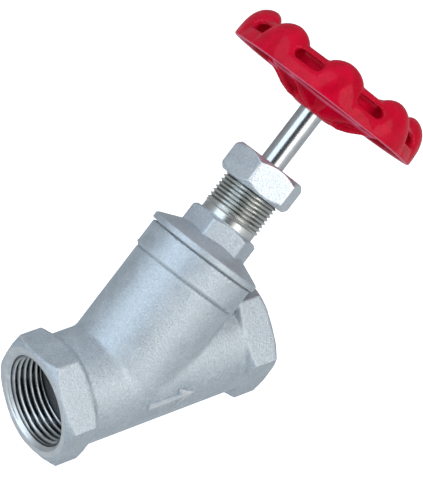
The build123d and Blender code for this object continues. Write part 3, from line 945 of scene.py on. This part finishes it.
def rim_mesh():
    """The rim as one closed ring of columns, each column the section at its own angle."""
    angles = tau * np.arange(rim_columns) / rim_columns
    lobed = np.clip((np.cos(lobe_count * angles) + 0.3) / 1.3, 0, 1) ** 0.6
    lobe = even_section(lobe_section, section_points)
    valley = even_section(valley_section, section_points)
    outer = valley + (lobe - valley) * lobed[:, None, None]
    along = np.gradient(outer, axis=1)
    along /= np.linalg.norm(along, axis=2)[:, :, None]
    inner = outer + rim_wall * np.stack((-along[:, :, 1], along[:, :, 0]), axis=2)
    from_inner, from_outer = (
        np.linalg.norm(side - np.array(hollow_middle), axis=2) for side in (inner, outer)
    )
    if (from_inner > from_outer).mean() > 0.5:
        inner = 2 * outer - inner
    inner[:, 0, 0] = outer[:, 0, 0]
    inner[:, -1, 0] = outer[:, -1, 0]
    ring = np.concatenate((outer, inner[:, ::-1]), axis=1)
    rows = ring.shape[1]
    height, radius = ring[:, :, 0], ring[:, :, 1]
    points = np.stack(
        (radius * np.cos(angles)[:, None], radius * np.sin(angles)[:, None], skirt_low + height),
        axis=2,
    )
    column = np.arange(rim_columns)[:, None] * rows
    beside = (column + rows) % (rim_columns * rows)
    here = np.arange(rows)
    above = (here + 1) % rows
    faces = np.stack((column + here, beside + here, beside + above, column + above), axis=2)
    mesh = bpy.data.meshes.new("rim")
    mesh.from_pydata((points.reshape(-1, 3) * mm).tolist(), [], faces.reshape(-1, 4).tolist())
    return mesh


def prism_mesh(name, outline, low, high, point):
    """A closed prism: an outline in two directions, drawn out in a third."""
    count = len(outline)
    vertices = [point(a, b, low) for a, b in outline] + [point(a, b, high) for a, b in outline]
    faces = [tuple(range(count))[::-1], tuple(range(count, 2 * count))]
    faces += [(k, (k + 1) % count, count + (k + 1) % count, count + k) for k in range(count)]
    mesh = bpy.data.meshes.new(name)
    mesh.from_pydata([Vector(vertex) * mm for vertex in vertices], [], faces)
    return outward(mesh)


def around_tree():
    """Geometry Nodes: copies of a piece at even turns about the wheel's axis, made one mesh."""
    tree = bpy.data.node_groups.new("around_the_wheel", "GeometryNodeTree")
    tree.interface.new_socket("Geometry", in_out="OUTPUT", socket_type="NodeSocketGeometry")
    kinds = {"Geometry": "Geometry", "Count": "Int", "Start Angle": "Float", "Finish": "Material"}
    sockets = [
        tree.interface.new_socket(label, in_out="INPUT", socket_type="NodeSocket" + kind)
        for label, kind in kinds.items()
    ]
    ins, outs = tree.nodes.new("NodeGroupInput"), tree.nodes.new("NodeGroupOutput")
    spots = add_node(tree, "GeometryNodePoints", Count=ins.outputs["Count"])
    index = add_node(tree, "GeometryNodeInputIndex")
    share = calculate(tree, "DIVIDE", index.outputs[0], ins.outputs["Count"])
    turn = calculate(tree, "MULTIPLY_ADD", share, tau, ins.outputs["Start Angle"])
    angles = add_node(tree, "ShaderNodeCombineXYZ", Z=turn)
    rotation = tree.nodes.new("FunctionNodeEulerToRotation")
    feed(tree, angles.outputs[0], rotation.inputs[0])
    copies = add_node(
        tree, "GeometryNodeInstanceOnPoints", Points=spots.outputs[0],
        Instance=ins.outputs["Geometry"], Rotation=rotation.outputs[0],
    )
    real = add_node(tree, "GeometryNodeRealizeInstances", Geometry=copies.outputs[0])
    coloured = add_node(
        tree, "GeometryNodeSetMaterial", Geometry=real.outputs[0], Material=ins.outputs["Finish"]
    )
    feed(tree, coloured.outputs[0], outs.inputs[0])
    return tree, [socket.identifier for socket in sockets[1:]]


around, (count_input, start_input, finish_input) = around_tree()


def repeated(mesh, count, start_angle):
    """A mesh copied round the wheel's axis by Geometry Nodes, as one scratch object."""
    source = scratch_object("one_of_" + mesh.name, mesh)
    modifier = source.modifiers.new("around", "NODES")
    modifier.node_group = around
    modifier[count_input] = count
    modifier[start_input] = start_angle
    modifier[finish_input] = red_coat
    result = baked_mesh(source)
    bpy.data.objects.remove(source)
    return scratch_object("all_of_" + mesh.name, result)


slot_length = 11.5
slot_width = 3.8
slot_height = 7.2
slot_ends = 8                 # steps round each end
slot_from = 29.5              # the cut's nearest and furthest radius
slot_to = 42.0


def slot_outline():
    """A slot with round ends: across the valley, and up and down."""
    straight = (slot_length - slot_width) / 2
    points = []
    for side in (1, -1):
        for step in range(slot_ends + 1):
            turn = side * pi / 2 - pi * step / slot_ends
            along = side * straight + slot_width / 2 * cos(turn)
            points.append((along, slot_width / 2 * sin(turn)))
    return points


slot_mesh = prism_mesh(
    "slot", slot_outline(), slot_from, slot_to,
    lambda a, b, c: (c, a, skirt_low + slot_height + b),
)
slots = repeated(slot_mesh, lobe_count, pi / lobe_count)

# Inside each lobe a thin partition stiffens the rim.
partition_half = 0.9
partition_outline = [(26.5, 2.5), (36.5, 2.5), (36.3, 7), (34, 11), (30.5, 13.5), (27, 11)]

# One arm: a web that climbs from the hub to the rim's inner wall, with a rib hanging along
# each edge that is deepest by the hub.
arm_half = 4.2
rib_width = 1.5
web_outline = [(6, -2.6), (14, -1.0), (27, 2.6), (27, 6.2), (14, 3.8), (6, 3.2)]
rib_outline = [(6, -5.0), (9.5, -5.0), (15, -3.6), (21, -1.2), (27, 0.4), (27, 5.6), (6, 2.6)]


def beside_arm(a, b, c):
    """Outline points are distance from the axis and height above the skirt."""
    return (a, c, skirt_low + b)


partitions = repeated(
    prism_mesh("partition", partition_outline, -partition_half, partition_half, beside_arm),
    lobe_count,
    0,
)
web = repeated(prism_mesh("web", web_outline, -arm_half, arm_half, beside_arm), arm_count, 0)
ribs = []
for side in (1, -1):
    near, far = sorted((side * arm_half, side * (arm_half + rib_width)))
    rib_mesh = prism_mesh("rib", rib_outline, near, far, beside_arm)
    ribs.append(repeated(rib_mesh, arm_count, 0))
hub_path = rounded_path(
    [
        (wheel_low, 0.5),
        (wheel_low, 8.0),
        (wheel_low + 2.5, 9.4),
        (wheel_low + 5.0, 10.6),
        (hub_high, 10.4),
        (hub_high, 0.5),
    ],
    1.2,
    1.0,
    closed=False,
)
hub = scratch_object("hub", polar_mesh("hub", hub_path, Matrix(), closed=False, columns=96))
rim = scratch_object("rim", outward(rim_mesh()))
cut = rim.modifiers.new("slots", "BOOLEAN")
cut.operation = "DIFFERENCE"
cut.solver = "EXACT"
cut.object = slots
work = bmesh.new()
work.from_mesh(baked_mesh(rim))
for part in (hub, web, partitions, *ribs):
    work.from_mesh(part.data)
joined = bpy.data.meshes.new("joined")
work.to_mesh(joined)
work.free()
whole = scratch_object("whole", joined)
wheel_mesh = remeshed(whole, wheel_voxel)
for part in (rim, hub, web, partitions, *ribs, slots, whole):
    bpy.data.objects.remove(part)
soften(wheel_mesh, wheel_rounds, wheel_rounds, lambda points: np.ones(len(points)))
wheel_mesh.transform(stem_place)
new_piece("wheel_casting", wheel_mesh, red_coat, "stem", "red_paint", "handwheel")

# ---- Wheel fixings ----
# A plain washer, a split spring washer and a hexagon nut, zinc plated, hold the wheel down on
# its square. The nut has turned corners and the spring washer a slanted cut.
washer_hole = 3.1
spring_cut_half = 0.42
spring_cut_slant = 0.35       # sideways for each millimetre up
nut_flats = 10.0
nut_core = 3.6
nut_bore = 3.05
nut_reach = 5.75
nut_end_reach = 4.9
nut_rise = 0.5


def make_zinc():
    """Zinc plate: pale, slightly blue, with soft blotches."""
    material, tree, shader = new_material("zinc_plate", (0.70, 0.73, 0.76), 1.0, 0.33)
    grain = place_group(tree, grain_group, Grain_Size=0.5, Cloud_Size=2.5)
    tone = blend_colours(
        tree, grain["Tone"], (0.55, 0.58, 0.62), (0.76, 0.79, 0.82), 0.35, 0.65
    )
    shine = vary(tree, grain["Height"], 0.27, 0.42, 0.3, 0.7)
    finish_shader(tree, shader, tone, shine, grain["Height"], 0.02, 0.4)
    return material


def in_spring_cut(point, low):
    """Whether a point is in the slanted cut of a washer that starts at a height."""
    offset = point - crossing
    climb = offset.dot(stem_direction) - low * mm
    off_middle = offset.dot(across_direction) - spring_cut_slant * climb
    return abs(off_middle) < spring_cut_half * mm and offset.dot(lean_direction) > 0


zinc_plate = make_zinc()
for washer, outer, rounding in (("wheel_washer", 7.1, 0.25), ("wheel_spring_washer", 5.6, 0.15)):
    low, high = stem_span(washer)
    ring_path = rounded_path(
        [(low, washer_hole), (low, outer), (high, outer), (high, washer_hole)],
        rounding,
        0.6,
        closed=True,
    )
    ring_mesh = polar_mesh(washer + "_ring", ring_path, stem_place, closed=True, columns=72)
    if washer == "wheel_spring_washer":
        work = bmesh.new()
        work.from_mesh(ring_mesh)
        split = [vertex for vertex in work.verts if in_spring_cut(vertex.co, low)]
        bmesh.ops.delete(work, geom=split, context="VERTS")
        bmesh.ops.holes_fill(work, edges=[edge for edge in work.edges if edge.is_boundary])
        bmesh.ops.recalc_face_normals(work, faces=work.faces)
        work.to_mesh(ring_mesh)
        work.free()
    new_piece(washer + "_ring", ring_mesh, zinc_plate, "stem", "zinc_steel", washer)

nut_low, nut_high = stem_span("wheel_nut")
nut_path = rounded_path(
    [
        (nut_low, nut_bore + 0.15),
        (nut_low, nut_core, nut_end_reach),
        (nut_low + nut_rise, nut_core, nut_reach),
        (nut_high - nut_rise, nut_core, nut_reach),
        (nut_high, nut_core, nut_end_reach),
        (nut_high, nut_bore + 0.25),
        (nut_high - 0.3, nut_bore),
        (nut_low + 0.3, nut_bore),
    ],
    0.12,
    0.25,
    closed=True,
)
nut_mesh = polar_mesh(
    "wheel_nut_hexagon", nut_path, stem_place, closed=True, columns=96, flats=nut_flats,
    blur=0.12,
)
new_piece("wheel_nut_hexagon", nut_mesh, zinc_plate, "stem", "zinc_steel", "wheel_nut")

# ---- Inner pieces ----
# The washer, follower, disc and its fixings are plain turned steel; the gasket, packing rings
# and disc seal are white PTFE. Their CAD solids are already the right shape.
def make_ptfe():
    """White PTFE: waxy, with a faint cloud and fine skiving lines."""
    material, tree, shader = new_material("ptfe_white", (0.86, 0.86, 0.84), 0.0, 0.42)
    shader.inputs["Subsurface Weight"].default_value = 0.1
    shader.inputs["Subsurface Scale"].default_value = 0.5 * mm
    lines = place_group(tree, line_group, Pitch=0.3, Vector=axis_place(tree, stem_place))
    tone = blend_colours(
        tree, lines["Streak"], (0.78, 0.78, 0.75), (0.88, 0.88, 0.86), 0.3, 0.65
    )
    finish_shader(tree, shader, tone, 0.42, lines["Height"], 0.01, 0.4)
    return material


ptfe_white = make_ptfe()
finishes = {"turned_steel": turned_steel, "ptfe": ptfe_white}
for subpart in frame["record"]["subparts"]:
    finish = finishes.get(subpart["material_slot"])
    if finish:
        kept = nodes[subpart["node"]]
        kept.data.materials.clear()
        kept.data.materials.append(finish)

# ---- Floor, light and camera ----
# A table that looks white to the camera a little way below, large soft lights in front, above
# and to the left, the last two bluish, and a pale room that is dark where the camera stands,
# which gives the bright metal its streak.
floor_drop = 120 * mm
floor_half = 4.0
floor_mesh = bpy.data.meshes.new("floor")
floor_level = cad_box[0][2] - floor_drop
floor_corners = [
    (x * floor_half, y * floor_half, floor_level) for x, y in ((-1, -1), (1, -1), (1, 1), (-1, 1))
]
floor_mesh.from_pydata(floor_corners, [], [(0, 1, 2, 3)])
floor = bpy.data.objects.new("floor", floor_mesh)
bpy.context.scene.collection.objects.link(floor)
floor_paint, floor_tree, floor_shader = new_material("floor_paint", (0.62, 0.62, 0.62), 0.0, 0.7)
floor_shader.inputs["Emission Color"].default_value = (1.0, 1.0, 1.0, 1)
seen = add_node(floor_tree, "ShaderNodeLightPath")
floor_glow = vary(floor_tree, seen.outputs["Is Camera Ray"], 0.06, 0.95)
feed(floor_tree, floor_glow, floor_shader.inputs["Emission Strength"])
floor_mesh.materials.append(floor_paint)

look_at = Vector((70.8, -2.1, 43.2)) * mm
eye_distance = 1026 * mm
view_turn = radians(37.2)     # from +Y towards +X
view_drop = radians(32.9)     # below the horizon
eye = look_at - eye_distance * Vector(
    (sin(view_turn) * cos(view_drop), cos(view_turn) * cos(view_drop), -sin(view_drop))
)
camera_roll = radians(3.19)
camera_data = bpy.data.cameras.new("camera")
camera_data.sensor_fit = "VERTICAL"
camera_data.sensor_height = 36.0
camera_data.lens = 223.6
camera_data.clip_start = 0.05
camera_data.clip_end = 20.0
camera = bpy.data.objects.new("camera", camera_data)
bpy.context.scene.collection.objects.link(camera)
camera.rotation_mode = "QUATERNION"
camera.rotation_quaternion = (look_at - eye).to_track_quat("-Z", "Y") @ Quaternion(
    (0, 0, 1), camera_roll
)
camera.location = eye
bpy.context.scene.camera = camera


def soft_light(name, place, size, power, colour):
    """A square soft light that faces the valve."""
    data = bpy.data.lights.new(name, "AREA")
    data.shape = "SQUARE"
    data.size = size
    data.energy = power
    data.color = colour
    light = bpy.data.objects.new(name, data)
    bpy.context.scene.collection.objects.link(light)
    light.location = place
    light.rotation_mode = "QUATERNION"
    light.rotation_quaternion = (look_at - light.location).to_track_quat("-Z", "Y")


soft_light("front_light", Vector((0.25, -1.1, 0.35)), 0.9, 5.6, (1.0, 0.98, 0.96))
soft_light("top_light", Vector((-0.5, 0.0, 1.2)), 1.1, 6.5, (0.68, 0.83, 1.0))
soft_light("left_light", Vector((-1.2, 0.0, 0.3)), 1.3, 6.0, (0.84, 0.92, 1.0))

room = bpy.data.worlds.new("room")
bpy.context.scene.world = room
room.use_nodes = True
room_tree = room.node_tree
room_light = room_tree.nodes["Background"]
room_light.inputs["Strength"].default_value = 0.52
toward_sky = add_node(room_tree, "ShaderNodeTexCoord").outputs["Generated"]
room_parts = add_node(room_tree, "ShaderNodeSeparateXYZ", Vector=toward_sky)
room_height = vary(room_tree, room_parts.outputs["Z"], 0.0, 1.0, -1.0, 1.0)
walls = blend_colours(room_tree, room_height, (0.80, 0.84, 0.88), (0.95, 0.98, 1.0))
dark_band = walls.node.color_ramp.elements.new(0.45)
dark_band.color = (0.50, 0.54, 0.58, 1)
toward_camera = add_node(
    room_tree, "ShaderNodeVectorMath", operation="DOT_PRODUCT", Vector=toward_sky
)
toward_camera.inputs[1].default_value = (eye - look_at).normalized()
shade = vary(room_tree, toward_camera.outputs["Value"], 0.0, 1.0, 0.90, 0.98)
room_colour = lay_over(room_tree, walls, (0.10, 0.11, 0.12), shade)
feed(room_tree, room_colour, room_light.inputs["Color"])
bpy.context.scene.view_settings.view_transform = "Standard"
